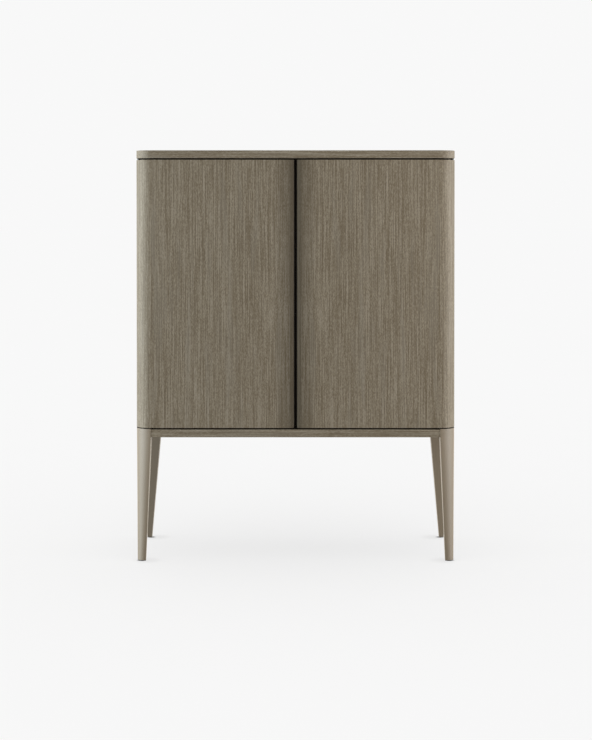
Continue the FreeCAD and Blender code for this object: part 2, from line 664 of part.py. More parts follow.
def make_flap_hinge():
    """Long hinge with alternating knuckles. The flap's leaf is the fixed leaf turned upright."""
    axis_y, axis_z = hinge_axis()
    clear = "(size.knuckle_radius + size.knuckle_clearance)"
    pairs = round(value("size.knuckle_pairs"))
    bore = "size.hinge_pin_radius + size.hinge_pin_clearance"
    for name, shift, stands in (("worktop_hinge_leaf", 0, False), ("flap_hinge_leaf", 1, True)):
        def leaf_box(part_name, x, out, thick):
            """Block given by its distance out from the hinge axis and down into the wood."""
            if stands:
                return box(part_name, x, (f"{axis_y} - {thick}", axis_y),
                           (f"{axis_z} + {out[0]}", f"{axis_z} + {out[1]}"))
            return box(part_name, x, (f"{axis_y} + {out[0]}", f"{axis_y} + {out[1]}"),
                       (f"{axis_z} - {thick}", axis_z))

        pieces = [leaf_box(f"{name}_blade", (minus(HINGE_HALF), HINGE_HALF),
                           (clear, "size.leaf_width"), "size.leaf_wall")]
        for i in range(pairs):
            start = f"(-{HINGE_HALF} + {KNUCKLE} * {2 * i + shift} + size.knuckle_gap / 2)"
            length = f"({KNUCKLE} - size.knuckle_gap)"
            pieces.append(leaf_box(f"{name}_tab_{i}", (start, f"{start} + {length}"),
                                   ("0", f"({clear} + size.leaf_wall)"), "size.leaf_wall"))
            pieces.append(rod(f"{name}_knuckle_{i}", "size.knuckle_radius", length,
                              (start, axis_y, axis_z), "x"))
        hole = rod(f"{name}_bore", bore, f"{HINGE_HALF} * 2",
                   (minus(HINGE_HALF), axis_y, axis_z), "x")
        keep(cut(name, fuse(f"{name}_blank", pieces), [hole]), name)
    keep(rod("flap_hinge_pin", "size.hinge_pin_radius", f"{HINGE_HALF} * 2",
             (minus(HINGE_HALF), axis_y, axis_z), "x"), "flap_hinge_pin")


# ------------------------------------------------------------------ doors
def make_door(side_name, side):
    """Wrap-round door: front panel, rounded corner and a short return to the pivots."""
    name = f"door_{side_name}"
    near, outer, inner = (mirrored(side, x) for x in (HALF_GAP, SIDE, INNER_SIDE))
    points = [(near, FRONT), (outer, FRONT), (outer, DOOR_END), (inner, DOOR_END),
              (inner, DOOR_BACK), (near, DOOR_BACK)]
    rounds = [([(outer, FRONT)], "size.corner_radius"), ([(inner, DOOR_BACK)], INNER_RADIUS),
              ([(near, FRONT)], "size.meeting_round")]
    door = shaped_board(name, points, DOOR_BOTTOM, "size.door_height", rounds, eased=True)
    pivot_x = mirrored(side, PIVOT_X)
    for end, offset, upwards in (("low", "0", True), ("high", "size.door_height", False)):
        sketch = new_sketch(door, f"{name}_{end}_bush_seat", offset=offset)
        draw_circle(sketch, pivot_x, PIVOT_Y, bush_radius())
        drill(door, f"{name}_{end}_bush_hole", sketch, "size.bush_length", backwards=upwards)
    seat = new_sketch(door, f"{name}_strike_seat", "XZ_Plane", minus(DOOR_BACK))
    draw_circle(seat, mirrored(side, "size.door_catch_offset"), f"{door_catch_level()} - {DOOR_BOTTOM}",
                "size.strike_radius")
    drill(door, f"{name}_strike_hole", seat, "size.strike_wall", backwards=True)
    keep(door, name)

    bushes = []
    for end, z in (("low", DOOR_BOTTOM), ("high", f"{DOOR_TOP} - size.bush_length")):
        tube = rod(f"{name}_{end}_bush_blank", bush_radius(), "size.bush_length",
                   (pivot_x, PIVOT_Y, z))
        hole = rod(f"{name}_{end}_bush_bore", "size.pivot_radius + size.pivot_clearance",
                   "size.bush_length", (pivot_x, PIVOT_Y, z))
        bushes.append(cut(f"{name}_{end}_bush", tube, [hole]))
    keep(group(f"pivot_bushes_{side_name}", bushes), f"pivot_bushes_{side_name}")

    keep(rod(f"door_strike_{side_name}", "size.strike_radius", "size.strike_wall",
             (mirrored(side, "size.door_catch_offset"), f"{DOOR_BACK} - size.strike_wall",
              door_catch_level()), "y"), f"door_strike_{side_name}")

    across = span(side, f"({HALF_GAP} - size.seal_width)", HALF_GAP)
    keep(box(f"door_seal_{side_name}", across, (f"{DOOR_BACK} - size.seal_depth", DOOR_BACK),
             (DOOR_BOTTOM, DOOR_TOP)), f"door_seal_{side_name}")


def bush_radius():
    return "(size.pivot_radius + size.pivot_clearance + size.bush_wall)"


def door_catch_level():
    return f"({CEILING} + size.board / 2)"


def make_pivot_plates():
    """Plates let into the side rails and the slab, each with a collar and the pin for a bush."""
    pin_in_bush = "(size.bush_length - size.pin_end_gap)"
    low_plates, high_plates = [], []
    for side_name, side in SIDES.items():
        pivot_x = mirrored(side, PIVOT_X)
        across, along = plate_limits(side)
        low_plates.append(fuse(f"low_plate_{side_name}", [
            box(f"low_base_{side_name}", across, along,
                (f"{RAIL_TOP} - size.plate_wall", RAIL_TOP)),
            rod(f"low_collar_{side_name}", "size.collar_radius",
                "size.gap_below_door - size.collar_gap", (pivot_x, PIVOT_Y, RAIL_TOP)),
            rod(f"low_pin_{side_name}", "size.pivot_radius",
                f"size.gap_below_door + {pin_in_bush}", (pivot_x, PIVOT_Y, RAIL_TOP)),
        ]))
        high_plates.append(fuse(f"high_plate_{side_name}", [
            box(f"high_base_{side_name}", across, along,
                (SLAB_BOTTOM, f"{SLAB_BOTTOM} + size.plate_wall")),
            rod(f"high_collar_{side_name}", "size.collar_radius",
                "size.gap_above_door - size.collar_gap",
                (pivot_x, PIVOT_Y, f"{DOOR_TOP} + size.collar_gap")),
            rod(f"high_pin_{side_name}", "size.pivot_radius",
                f"size.gap_above_door + {pin_in_bush}",
                (pivot_x, PIVOT_Y, f"{DOOR_TOP} - {pin_in_bush}")),
        ]))
    keep(group("pivot_plates_low", low_plates), "pivot_plates_low")
    keep(group("pivot_plates_high", high_plates), "pivot_plates_high")


def make_door_magnets():
    """Magnets let into the front edge of the carcass top, one for each door's strike plate."""
    front = f"({DOOR_BACK} + size.catch_gap)"
    magnets = [rod(f"door_magnet_{side_name}", "size.magnet_radius", "size.magnet_length",
                   (mirrored(side, "size.door_catch_offset"), front, door_catch_level()), "y")
               for side_name, side in SIDES.items()]
    keep(group("door_magnets", magnets), "door_magnets")


def make_rack(side_name, side, level_name, level):
    """Folded metal tray on a door's inner face, and the gallery rail over its lip."""
    name = f"{level_name}_tray_{side_name}"
    start, end = "size.tray_start", f"({INNER_SIDE} - size.tray_end)"
    wall = "size.tray_wall"
    front = f"({DOOR_BACK} + size.tray_depth)"
    beyond = f"({front} + {wall})"
    blank = box(f"{name}_blank", span(side, start, end), (DOOR_BACK, front),
                (level, f"{level} + size.tray_back"))
    hollow = box(f"{name}_hollow", span(side, f"({start} + {wall})", f"({end} - {wall})"),
                 (f"{DOOR_BACK} + {wall}", f"{front} - {wall}"),
                 (f"{level} + {wall}", f"{level} + size.tray_back + {wall}"))
    window = box(f"{name}_window", span(side, f"({start} - {wall})", f"({end} + {wall})"),
                 (f"{DOOR_BACK} + {wall}", beyond),
                 (f"{level} + size.tray_lip", f"{level} + size.tray_back + {wall}"))
    keep(cut(name, blank, [hollow, window]), name)

    name = f"{level_name}_gallery_{side_name}"
    near, far = f"({start} + size.gallery_inset)", f"({end} - size.gallery_inset)"
    rail_y = f"({front} - size.gallery_inset)"
    z = f"({level} + size.gallery_rise)"
    bend = "size.gallery_bend"
    arm = f"{rail_y} - {bend} - {DOOR_BACK}"
    left, right = span(side, near, far)
    pieces = [rod(f"{name}_arm_left", "size.gallery_radius", arm, (left, DOOR_BACK, z), "y"),
              rod(f"{name}_arm_right", "size.gallery_radius", arm, (right, DOOR_BACK, z), "y"),
              rod(f"{name}_bar", "size.gallery_radius", f"{right} - {left} - 2 * {bend}",
                  (f"{left} + {bend}", rail_y, z), "x")]
    for corner, x, turn in (("left", f"{left} + {bend}", 90), ("right", f"{right} - {bend}", 0)):
        elbow = doc.addObject("Part::Torus", f"{name}_elbow_{corner}")
        elbow.setExpression("Radius1", bend)
        elbow.setExpression("Radius2", "size.gallery_radius")
        elbow.Angle3 = 90
        elbow.Placement = Placement(Vector(), Rotation(Vector(0, 0, 1), turn))
        place(elbow, x, f"{rail_y} - {bend}", z)
        pieces.append(elbow)
    keep(fuse(name, pieces), name)


# ------------------------------------------------------------------ the whole cabinet
make_slab()
make_rails()
make_legs()
make_carcass()
make_shelves()
make_mirror()
make_bottle_cradles()
make_stemware_rails()
make_worktop()
make_flap()
make_flap_hinge()
make_pivot_plates()
make_door_magnets()
for half_name, half_side in SIDES.items():
    make_door(half_name, half_side)
    make_rack(half_name, half_side, "low", "size.low_tray_level")
    make_rack(half_name, half_side, "high", "size.high_tray_level")
doc.recompute()

for item in doc.Objects:
    if "Invalid" in item.State or "Error" in item.State:
        raise RuntimeError(f"{item.Name} failed: {item.State}")
os.makedirs("parts", exist_ok=True)
for item in nodes:
    if item.Shape.isNull() or not item.Shape.isValid():
        raise RuntimeError(f"{item.Label} has no valid shape")
    item.Shape.exportStep(f"parts/{item.Label}.step")
print(len(nodes), "pieces written")
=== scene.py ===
"""Dresses the bar cabinet: finishes for every part, turned and pressed fittings, and a pale studio."""
import json
import math

import bmesh
import bpy
from bpy.props import FloatProperty, FloatVectorProperty, PointerProperty
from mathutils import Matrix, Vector

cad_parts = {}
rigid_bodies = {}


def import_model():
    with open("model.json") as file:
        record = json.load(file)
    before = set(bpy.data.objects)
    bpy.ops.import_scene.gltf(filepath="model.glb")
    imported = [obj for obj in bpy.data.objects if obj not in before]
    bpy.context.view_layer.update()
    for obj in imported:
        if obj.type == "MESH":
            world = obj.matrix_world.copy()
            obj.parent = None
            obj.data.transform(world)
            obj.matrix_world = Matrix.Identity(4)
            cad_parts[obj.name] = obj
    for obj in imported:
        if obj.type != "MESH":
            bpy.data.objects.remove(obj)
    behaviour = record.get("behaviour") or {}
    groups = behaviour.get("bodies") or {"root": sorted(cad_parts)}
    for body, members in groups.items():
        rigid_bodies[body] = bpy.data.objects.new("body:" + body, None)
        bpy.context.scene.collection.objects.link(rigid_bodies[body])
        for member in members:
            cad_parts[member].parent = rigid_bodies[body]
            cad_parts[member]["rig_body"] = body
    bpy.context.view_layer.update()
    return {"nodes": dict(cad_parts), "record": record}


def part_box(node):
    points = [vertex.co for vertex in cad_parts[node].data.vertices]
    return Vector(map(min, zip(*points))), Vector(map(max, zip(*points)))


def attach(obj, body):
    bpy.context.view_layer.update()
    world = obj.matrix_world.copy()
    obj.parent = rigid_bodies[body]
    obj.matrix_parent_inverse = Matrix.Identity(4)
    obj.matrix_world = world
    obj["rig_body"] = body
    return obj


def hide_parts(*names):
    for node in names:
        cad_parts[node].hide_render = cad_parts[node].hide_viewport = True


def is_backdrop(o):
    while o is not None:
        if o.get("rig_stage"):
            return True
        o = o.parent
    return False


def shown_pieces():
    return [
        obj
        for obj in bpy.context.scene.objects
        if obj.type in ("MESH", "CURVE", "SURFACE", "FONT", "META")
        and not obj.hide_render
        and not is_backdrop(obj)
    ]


bl_info = {
    "name": "Bar cabinet dressing",
    "version": (1, 0, 0),
    "blender": (4, 5, 0),
    "location": "3D View > Sidebar > Cabinet",
    "description": "Finishes, fittings and studio for a bar cabinet with a fold-out shelf",
    "category": "Object",
}

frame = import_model()

MM = 0.001
SIDES = {"left": -1, "right": 1}
LEVELS = ("low", "high")
# Each leg's node by the signs of its x and y.
LEGS = {(sx, sy): f"leg_{row}_{side}" for side, sx in SIDES.items()
        for row, sy in (("front", -1), ("rear", 1))}
SLOTS = {row["node"]: row["material_slot"] for row in frame["record"]["subparts"]}


def between(values):
    """The middle of the range that these values cover."""
    return (min(values) + max(values)) / 2


def middle(node, axis):
    """The middle of a node along one axis."""
    return between([corner[axis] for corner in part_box(node)])


def body_of(node):
    """The body that a node rides on."""
    return frame["nodes"][node]["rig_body"]


# ------------------------------------------------------------------ settings
class VeneerSettings(bpy.types.PropertyGroup):
    """Stained oak veneer of the body."""

    dark: FloatVectorProperty(name="Dark grain", description="Colour of the late wood", size=3,
                              subtype="COLOR", min=0, max=1, default=(0.0316, 0.0183, 0.0040))
    mid: FloatVectorProperty(name="Ground", description="Colour of most of the wood", size=3,
                             subtype="COLOR", min=0, max=1, default=(0.0536, 0.0377, 0.0183))
    light: FloatVectorProperty(name="Light grain", description="Colour of the early wood", size=3,
                               subtype="COLOR", min=0, max=1, default=(0.0850, 0.0665, 0.0440))
    grey: FloatVectorProperty(name="Grey zones", description="Where the stain took cooler", size=3,
                              subtype="COLOR", min=0, max=1, default=(0.0592, 0.0462, 0.030))
    # Colour of the shade painted on the doors beside the groove where they meet.
    edge: FloatVectorProperty(name="Meeting edges", description="Toned colour where the doors meet",
                              size=3, subtype="COLOR", min=0, max=1, default=(0.018, 0.0135, 0.0080))
    inside: FloatProperty(name="Inside", description="How much lighter the wood inside is left",
                          min=0, default=2.05)
    ring_pitch: FloatProperty(name="Ring pitch", description="Distance between growth rings",
                              subtype="DISTANCE", unit="LENGTH", min=0.001, default=0.0065)
    roughness: FloatProperty(name="Roughness", description="Roughness of the matt lacquer",
                             subtype="FACTOR", min=0, max=1, default=0.8)


class LegSettings(bpy.types.PropertyGroup):
    """Satin lacquer of the legs."""

    colour: FloatVectorProperty(name="Lacquer", description="Colour of the legs", size=3,
                                subtype="COLOR", min=0, max=1, default=(0.0622, 0.0434, 0.0236))
    roughness: FloatProperty(name="Roughness", description="Roughness of the satin lacquer",
                             subtype="FACTOR", min=0, max=1, default=0.65)


class FittingSettings(bpy.types.PropertyGroup):
    """Metal, mirror, mats and eased edges."""

    brass_dark: FloatVectorProperty(name="Brass, dark", description="Darkest bronze tone of the brass",
                                    size=3, subtype="COLOR", min=0, max=1,
                                    default=(0.27, 0.19, 0.095))
    brass_light: FloatVectorProperty(name="Brass, light", description="Lightest tone of the brass",
                                     size=3, subtype="COLOR", min=0, max=1,
                                     default=(0.42, 0.31, 0.17))
    board_edge: FloatProperty(name="Board edges", description="Width of the boards' eased edges",
                              subtype="DISTANCE", unit="LENGTH", min=0.0001, default=0.0008)
    mirror_bevel: FloatProperty(name="Mirror bevel", description="Width of the ground border",
                                subtype="DISTANCE", unit="LENGTH", min=0.001, default=0.014)
    rib_pitch: FloatProperty(name="Mat ribs", description="Distance between the ribs of a tray mat",
                             subtype="DISTANCE", unit="LENGTH", min=0.003, default=0.007)
    screw_head: FloatProperty(name="Screw head", description="Radius of the fittings' screws",
                              subtype="DISTANCE", unit="LENGTH", min=0.001, default=0.0031)
    block_screw_head: FloatProperty(name="Block screw head", subtype="DISTANCE", unit="LENGTH",
                                    description="Radius of the corner blocks' screws",
                                    min=0.001, default=0.0046)


class StudioSettings(bpy.types.PropertyGroup):
    """Camera and light."""

    distance: FloatProperty(name="Distance", description="Camera to the middle of the cabinet",
                            subtype="DISTANCE", unit="LENGTH", default=5.908)
    height: FloatProperty(name="Height", description="Camera above the floor",
                          subtype="DISTANCE", unit="LENGTH", default=1.1404)
    tilt: FloatProperty(name="Tilt", description="Camera below the horizon", subtype="ANGLE",
                        unit="ROTATION", default=math.radians(0.905))
    focal_px: FloatProperty(name="Focal length", description="In pixels of the frame",
                            default=1735.4)
    axis_right: FloatProperty(name="Axis right", description="Optical axis off the frame's middle",
                              default=-0.44)
    axis_up: FloatProperty(name="Axis up", description="Optical axis over the frame's middle",
                           default=128.42)
    surround: FloatProperty(name="Surround", description="Brightness of the white surround",
                            min=0, default=0.94)
    side_light: FloatProperty(name="Side light", description="Strength of all softboxes",
                              min=0, default=1.0)


# ------------------------------------------------------------------ shader nodes
class Wire:
    """Output of a shader node. Arithmetic on it adds Math nodes."""

    def __init__(self, finish, socket):
        self.finish, self.socket = finish, socket

    def __add__(self, other):
        return self.finish.math("ADD", self, other)

    def __radd__(self, other):
        return self.finish.math("ADD", other, self)

    def __sub__(self, other):
        return self.finish.math("SUBTRACT", self, other)

    def __rsub__(self, other):
        return self.finish.math("SUBTRACT", other, self)

    def __mul__(self, other):
        return self.finish.math("MULTIPLY", self, other)

    def __rmul__(self, other):
        return self.finish.math("MULTIPLY", other, self)

    def __abs__(self):
        return self.finish.math("ABSOLUTE", self)


class Finish:
    """A material being made."""

    def __init__(self, name):
        self.material = bpy.data.materials.new(name)
        self.material.use_nodes = True
        self.tree = self.material.node_tree
        self.tree.nodes.clear()

    def node(self, kind, settings=None, inputs=None, stops=None):
        """Adds a node: its settings first, then the values or links of its sockets."""
        made = self.tree.nodes.new(kind)
        for name, setting in (settings or {}).items():
            setattr(made, name, setting)
        if stops:
            ramp = made.color_ramp.elements
            while len(ramp) < len(stops):
                ramp.new(position=0.5)
            for element, (position, colour) in zip(ramp, stops):
                element.position, element.color = position, (*colour, 1)
        for name, given in (inputs or {}).items():
            socket = made.inputs[name]
            if isinstance(given, Wire):
                self.tree.links.new(given.socket, socket)
            else:
                socket.default_value = given
        return made

    def wire(self, made, output=0):
        """A node's output, ready for arithmetic."""
        return Wire(self, made.outputs[output])

    def math(self, operation, *values):
        """A Math node."""
        return self.wire(self.node("ShaderNodeMath", {"operation": operation},
                                   dict(enumerate(values))))

    def place(self):
        """The place on the piece, in metres."""
        return self.wire(self.node("ShaderNodeTexCoord"), "Object")

    def split(self, vector):
        """The x, y and z of a vector."""
        parts = self.node("ShaderNodeSeparateXYZ", inputs={0: vector})
        return [self.wire(parts, i) for i in range(3)]

    def join(self, *parts):
        """A vector of three values."""
        return self.wire(self.node("ShaderNodeCombineXYZ", inputs=dict(enumerate(parts))))

    def stretch(self, vector, factors):
        """The vector, with each part times its factor."""
        return self.wire(self.node("ShaderNodeVectorMath", {"operation": "MULTIPLY"},
                                   {0: vector, 1: factors}))

    def noise(self, vector, cell, detail=2.0, roughness=0.5):
        """Noise about 0, its cell in millimetres along the vector's three parts."""
        cloud = self.wire(self.node("ShaderNodeTexNoise", inputs={
            "Vector": self.stretch(vector, [1 / (MM * length) for length in cell]), "Scale": 1.0,
            "Detail": detail, "Roughness": roughness}))
        return cloud - 0.5

    def fibres(self, vector, width):
        """The vector, made the same all across each fibre. Its width is in millimetres."""
        fine = 0.1 * MM
        return self.wire(self.node("ShaderNodeVectorMath", {"operation": "SNAP"},
                                   {0: vector, 1: (width * MM, width * MM, fine)}))

    def steps(self, value, low, high):
        """Soft step from 0 at low to 1 at high."""
        return self.wire(self.node("ShaderNodeMapRange", {"interpolation_type": "SMOOTHSTEP"}, {
            "Value": value, "From Min": low, "From Max": high}))

    def ramp(self, value, stops):
        """Colours that follow a value through (position, colour) stops."""
        return self.wire(self.node("ShaderNodeValToRGB", inputs={0: value}, stops=stops))

    def blend(self, factor, first, second):
        """One colour passing into another. Either is three numbers or a wire."""
        def colour(given):
            return given if isinstance(given, Wire) else (*given, 1)
        return self.wire(self.node("ShaderNodeMix", {"data_type": "RGBA"},
                                   {0: factor, 6: colour(first), 7: colour(second)}), 2)

    def bump(self, height, depth, strength):
        """A relief, its depth in metres."""
        return self.wire(self.node("ShaderNodeBump", inputs={
            "Height": height, "Distance": depth, "Strength": strength}))

    def shader(self, **sockets):
        """A Principled shader. Underscores in a socket's name stand for spaces."""
        named = {}
        for name, given in sockets.items():
            words = " ".join(w if w.isupper() else w.capitalize() for w in name.split("_"))
            named[words] = given
        return self.wire(self.node("ShaderNodeBsdfPrincipled", inputs=named))

    def shaded(self, factor, lit, colour):
        """Lets a shader pass into a dead matt colour that keeps no gloss, as painted shade."""
        dark = self.shader(base_color=(*colour, 1), roughness=0.95, specular_IOR_level=0.08)
        return self.wire(self.node("ShaderNodeMixShader", inputs={0: factor, 1: lit, 2: dark}))

    def end(self, shader):
        """The finished material."""
        self.node("ShaderNodeOutputMaterial", inputs={"Surface": shader})
        return self.material

    def surface(self, **sockets):
        """Ends the material with one Principled shader."""
        return self.end(self.shader(**sockets))


# ------------------------------------------------------------------ finishes
# Black of the spacers' stain in the shadow gaps, also used for painted shade in the gaps, on the rear
# left leg and at the feet.
BLACK_STAIN_AND_SHADE = (0.004, 0.0025, 0.001)
# The axes across the grain, into the board and along the grain.
GRAIN = {"upright": (0, 1, 2), "wide": (1, 2, 0), "deep": (0, 2, 1)}
# Fibres that show as streaks: width and length in millimetres, and weight.
FIBRES = ((1.7, 300, 1.8), (1.3, 90, 1.6), (1.5, 7, 1.7))
# Noise cell in fibre widths. It is no simple fraction, so that fibres side by side differ.
FIBRE_CELL = 0.618
# The plane of the doors' faces.
DOOR_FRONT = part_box("door_left")[0][1]
# Zones of painted shade beside the groove: where the shade ends, where it is full, and its share.
GROOVE_SHADE_ZONES = ((85 * MM, 18 * MM, 0.42), (26 * MM, 9 * MM, 0.34))
# Brushes of the metals, the longest cell along the brush, in millimetres.
BRUSHED_ACROSS, BRUSHED_UPWARDS = (50, 1.1, 1.1), (1.1, 1.1, 33)


def toned(colour, factor):
    """A colour made darker or lighter."""
    return [part * factor for part in colour]


def growth_rings(finish, spot, heart, pitch):
    """Rings round a heart line that lies under the face, leans into it and wanders."""
    buried, lean, flatness = 0.05, 0.11, 0.2
    sway_in, sway_across, sway_of_rings = 0.03, 0.06, 10
    across, over, along = finish.split(spot)
    wander = finish.noise(spot, (200, 200, 900))
    depth = buried + (along - heart[1]) * lean + wander * sway_in
    off = across - heart[0] + wander * sway_across
    radius = finish.math("SQRT", off * off + over * over * flatness + depth * depth)
    return finish.math("SINE", radius * (2 * math.pi / pitch) + wander * sway_of_rings) * 0.5


def fibre_streaks(finish, spot):
    """Fine dark and light lines, each as straight as the fibre it follows."""
    streaks = 0.0
    for width, length, weight in FIBRES:
        cell = width * FIBRE_CELL
        streaks = finish.noise(finish.fibres(spot, width), (cell, cell, length),
                               detail=1) * weight + streaks
    return streaks


def open_pores(finish, spot, streaks):
    """Short pores that stand open, most of them in the lighter fibres."""
    flecks = finish.noise(spot, (0.7, 0.7, 16), detail=1)
    return finish.steps(flecks, 0.10, 0.22) * finish.steps(streaks, -0.2, 0.3)


def painted_groove_shade(finish, across, over):
    """How far painted shade darkens the doors: beside the groove, and round their edges into it."""
    inmost, outmost = DOOR_FRONT + 12 * MM, DOOR_FRONT + 4 * MM
    near = sum(finish.steps(across, end, full) * share for end, full, share in GROOVE_SHADE_ZONES)
    return near * finish.steps(over, inmost, outmost)


def veneer(name, grain, bookmatched=False, tone=1.0, heart=(0.28, 0.62), band=16,
           gap_shade_above=None):
    """Open-pored oak, stained grey-brown, under a matt lacquer.

    The growth rings stand round a heart line, given across and along the grain. Bands of lighter
    wood are so many millimetres wide. Faces over gap_shade_above lie in a shadow gap and are painted
    black as its shade.
    """
    ring_share, band_share, patch_share, grey_share, pore_share = 0.03, 0.16, 0.25, 0.35, 0.45
    look = bpy.context.scene.cabinet_veneer
    finish = Finish(name)
    axes = finish.split(finish.place())
    across, over, along = (axes[i] for i in GRAIN[grain])
    if bookmatched:
        across = abs(across)
    spot = finish.join(across, over, along)

    rings = growth_rings(finish, spot, heart, look.ring_pitch)
    bands = finish.noise(spot, (band, band, 700), detail=3, roughness=0.6)
    patches = finish.noise(spot, (140, 140, 500))
    streaks = fibre_streaks(finish, spot)
    pores = open_pores(finish, spot, streaks)
    greyed = finish.steps(finish.noise(spot, (26, 26, 330)), 0.02, 0.22)

    lightness = 0.5 + rings * ring_share + bands * band_share + patches * patch_share + streaks
    colour = finish.ramp(lightness, [(0.10, toned(look.dark, tone)), (0.5, toned(look.mid, tone)),
                                     (0.92, toned(look.light, tone))])
    colour = finish.blend(greyed * grey_share, colour, toned(look.grey, tone))
    colour = finish.blend(pores * pore_share, colour, toned(look.dark, tone * 0.45))
    relief = finish.bump(streaks * 0.3 - pores, 0.12 * MM, 0.6)
    wood = finish.shader(base_color=colour, normal=relief, specular_IOR_level=0.45,
                         roughness=look.roughness + pores * 0.15 + streaks * 0.08)
    # Painted shade darkens the doors beside the groove where they meet.
    if bookmatched:
        wood = finish.shaded(painted_groove_shade(finish, across, over), wood, look.edge)
    # Painted shade: top faces inside the shadow gap are black.
    if gap_shade_above:
        painted_gap_shade = finish.steps(axes[2], gap_shade_above - 0.4 * MM, gap_shade_above - 0.1 * MM)
        wood = finish.shaded(painted_gap_shade, wood, BLACK_STAIN_AND_SHADE)
    return finish.end(wood)


def lacquered_legs(name, gap_shade_above):
    """Solid wood under a covering satin lacquer: an even colour, with a trace of grain.

    The rear left leg has painted shade: its colour passes into the others' within half_width of
    the middle. Painted shade darkens each leg at its foot, and faces over gap_shade_above, in a shadow
    gap, are painted black as its shade.
    """
    half_width, rear_left_shade_share, foot_shade_share = 0.1, 0.25, 0.9
    look = bpy.context.scene.cabinet_legs
    finish = Finish(name)
    spot = finish.place()
    grain = finish.noise(spot, (3.8, 3.8, 140), detail=3, roughness=0.6)
    cloud = finish.noise(spot, (70, 70, 250))
    mottle = finish.noise(spot, (1.1, 1.1, 1.1), detail=1)
    tint = finish.blend(0.5 + grain * 0.6 + cloud * 0.5, toned(look.colour, 0.9),
                        toned(look.colour, 1.1))
    x, y, height = finish.split(spot)
    # Painted shade on the rear left leg.
    rear_left_shade = (finish.steps(x, half_width, -half_width)
                 * finish.steps(y, -half_width, half_width))
    tint = finish.blend(rear_left_shade * rear_left_shade_share, tint, BLACK_STAIN_AND_SHADE)
    # Painted shade at each foot, where it meets the floor.
    foot = finish.steps(height, 4.2 * MM, 2.6 * MM)
    tint = finish.blend(foot * foot_shade_share, tint, BLACK_STAIN_AND_SHADE)
    relief = finish.bump(grain * 0.5 + mottle * 0.3, 0.08 * MM, 0.5)
    lacquer = finish.shader(base_color=tint, normal=relief, specular_IOR_level=0.4,
                            roughness=look.roughness + mottle * 0.1, sheen_weight=1.0,
                            sheen_roughness=0.25, sheen_tint=(1.0, 0.90, 0.76, 1.0))
    # Painted shade: the top face and a band of about a millimetre below it are black, in the shadow
    # gap under the doors.
    painted_gap_shade = finish.steps(height, gap_shade_above - 1.2 * MM, gap_shade_above - 0.9 * MM)
    return finish.end(finish.shaded(painted_gap_shade, lacquer, BLACK_STAIN_AND_SHADE))


def black_stain(name):
    """Recessed spacers stained black-brown."""
    finish = Finish(name)
    grain = finish.noise(finish.place(), (33, 8, 2.5), detail=3, roughness=0.6)
    tint = finish.blend(0.5 + grain, BLACK_STAIN_AND_SHADE, (0.010, 0.006, 0.0025))
    relief = finish.bump(grain, 0.1 * MM, 0.5)
    return finish.surface(base_color=tint, roughness=0.9 + grain * 0.2, normal=relief,
                          specular_IOR_level=0.15)


def looking_glass(name):
    """Smoked mirror with the faintest haze."""
    finish = Finish(name)
    haze = finish.noise(finish.place(), (110, 110, 110), detail=4, roughness=0.6)
    tint = finish.blend(0.5 + haze, (0.30, 0.285, 0.262), (0.335, 0.32, 0.295))
    return finish.surface(base_color=tint, roughness=0.05 + haze * 0.04, metallic=1.0)


def metal(name, dark, light, brush, roughness):
    """Brushed metal. The brush runs along the axis whose cell is longest."""
    finish = Finish(name)
    spot = finish.place()
    brushed = finish.noise(spot, brush, detail=3, roughness=0.7)
    cloud = finish.noise(spot, (40, 40, 40))
    tint = finish.blend(0.5 + brushed * 0.7 + cloud * 0.5, dark, light)
    relief = finish.bump(brushed, 0.03 * MM, 0.5)
    return finish.surface(base_color=tint, roughness=roughness + brushed * 0.16,
                          metallic=1.0, normal=relief)


def moulded(name, dark, light, roughness, grit):
    """Moulded rubber or plastic with a fine texture, its grit in millimetres."""
    finish = Finish(name)
    spot = finish.place()
    skin = finish.noise(spot, (grit, grit, grit))
    cloud = finish.noise(spot, (25, 25, 25))
    tint = finish.blend(0.5 + skin * 0.5 + cloud * 0.5, dark, light)
    relief = finish.bump(skin, 0.05 * MM, 0.6)
    return finish.surface(base_color=tint, roughness=roughness + skin * 0.15, normal=relief,
                          specular_IOR_level=0.12)


def studio_floor(name):
    """Pale seamless floor that takes only a soft cast shadow; a shadow is also painted into its glow,
    darkest right beside the feet.
    """
    lit_share = 0.30
    finish = Finish(name)
    spot = finish.place()
    paper = finish.noise(spot, (330, 330, 330))
    tint = finish.blend(0.5 + paper, (lit_share * 0.99,) * 3, (lit_share * 1.01,) * 3)
    x, y, _ = finish.split(spot)
    far_x, far_y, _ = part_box("foot_glides")[1]

    def painted_foot_shadow(inwards, reach, depth):
        """A painted shadow at each foot, some way towards the middle of the cabinet."""
        off_x, off_y = abs(x) - (far_x - 6 * MM - inwards), abs(y) - (far_y - 4 * MM)
        distance = finish.math("SQRT", off_x * off_x + off_y * off_y)
        return finish.steps(distance, reach, reach * 0.3) * depth

    # Painted contact shadows at the feet: a dark core and a faint wider pool.
    painted_contact_shadow = painted_foot_shadow(4 * MM, 18 * MM, 0.9) + painted_foot_shadow(24 * MM, 60 * MM, 0.08)
    glow_with_painted_shadow = finish.blend(painted_contact_shadow, (1, 1, 1), (0.03, 0.025, 0.02))
    surround = bpy.context.scene.cabinet_studio.surround
    return finish.surface(base_color=tint, roughness=1.0, specular_IOR_level=0.0,
                          emission_color=glow_with_painted_shadow, emission_strength=surround * (1 - lit_share))


def shared(name, make, *look):
    """A finish that several pieces wear, made when the first of them asks for it."""
    return bpy.data.materials.get(name) or make(name, *look)


def brass():
    """Bronze-toned brass of most fittings."""
    look = bpy.context.scene.cabinet_fittings
    return shared("bronzed_brass", metal, look.brass_dark, look.brass_light, BRUSHED_ACROSS, 0.3)


